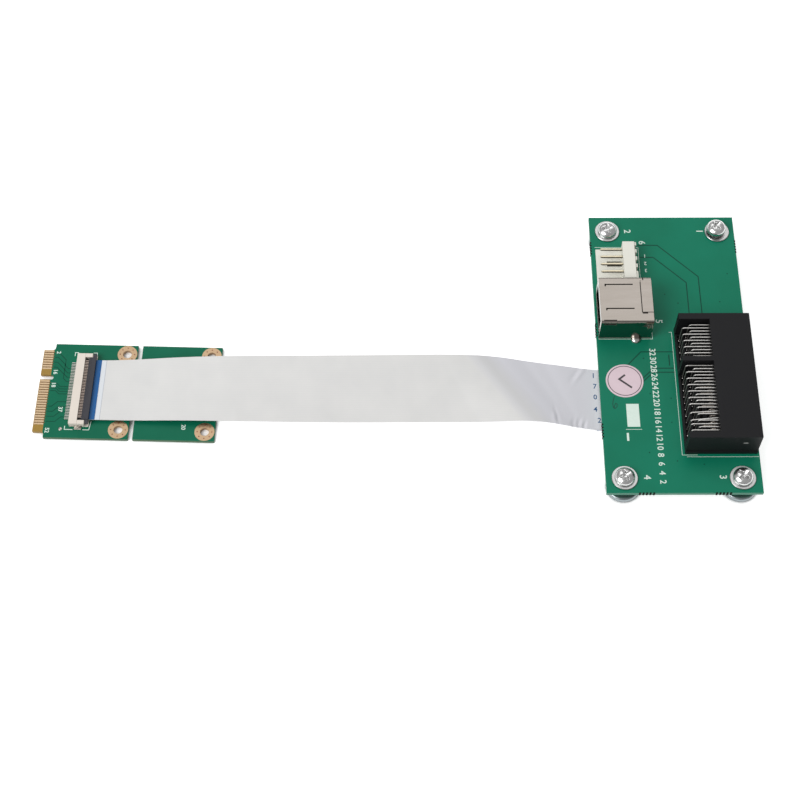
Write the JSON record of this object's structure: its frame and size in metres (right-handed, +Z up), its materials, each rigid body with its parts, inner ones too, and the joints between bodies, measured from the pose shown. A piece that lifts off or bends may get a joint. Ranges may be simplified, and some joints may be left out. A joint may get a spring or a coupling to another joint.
{
  "type": "mini card to card slot adapter",
  "caption": "Small edge-contact card joined by a flat cable to a slot board on feet, with a right-angle card slot, a shielded socket and a pin power header.",
  "frame": {"origin": "middle of the footprint of the card and the slot board, on the table", "axes": "+X from the small card to the slot board, +Y to the board's power header end, +Z up out of the boards"},
  "size_m": [0.2004, 0.09, 0.015],
  "materials": {
    "green_laminate": "glossy solder mask",
    "gold_plate": "plated",
    "ivory_plastic": "moulded",
    "black_plastic": "moulded",
    "tin_plate": "tin plated",
    "nickel_sheet": "nickel plated sheet",
    "bright_zinc": "bright zinc plated",
    "white_film": "smooth film",
    "blue_film": "smooth film",
    "label_paper": "paper"
  },
  "bodies": {
    "base": {"board_end_stiffener": "blue_film", "board_socket_contacts": "tin_plate", "board_socket_housing": "ivory_plastic", "board_socket_tabs": "tin_plate", "card_board": "green_laminate", "card_edge_contacts": "gold_plate", "card_end_stiffener": "blue_film", "card_socket_contacts": "tin_plate", "card_socket_housing": "ivory_plastic", "card_socket_tabs": "tin_plate", "corner_feet": "bright_zinc", "corner_screws": "bright_zinc", "corner_washers": "bright_zinc", "flat_cable": "white_film", "main_board": "green_laminate", "power_header_body": "ivory_plastic", "power_header_pins": "tin_plate", "round_label": "label_paper", "shield_contacts": "gold_plate", "shield_core": "black_plastic", "shield_shell": "nickel_sheet", "slot_housing": "black_plastic", "slot_lead_guide": "black_plastic", "slot_lower_leads": "tin_plate", "slot_upper_leads": "tin_plate"},
    "card_latch": {"card_socket_latch": "black_plastic"},
    "board_latch": {"board_socket_latch": "black_plastic"}
  },
  "joints": [
    {"name": "card_latch_flip", "type": "hinge", "parent": "base", "child": "card_latch", "pos_m": [-0.08592, -0.01061, 0.0027], "axis": [-0.0305, -0.9995, 0], "range_deg": [0, 90]},
    {"name": "board_latch_flip", "type": "hinge", "parent": "base", "child": "board_latch", "pos_m": [0.06021, -0.015, 0.00275], "axis": [0, -1, 0], "range_deg": [0, 90]}
  ]
}
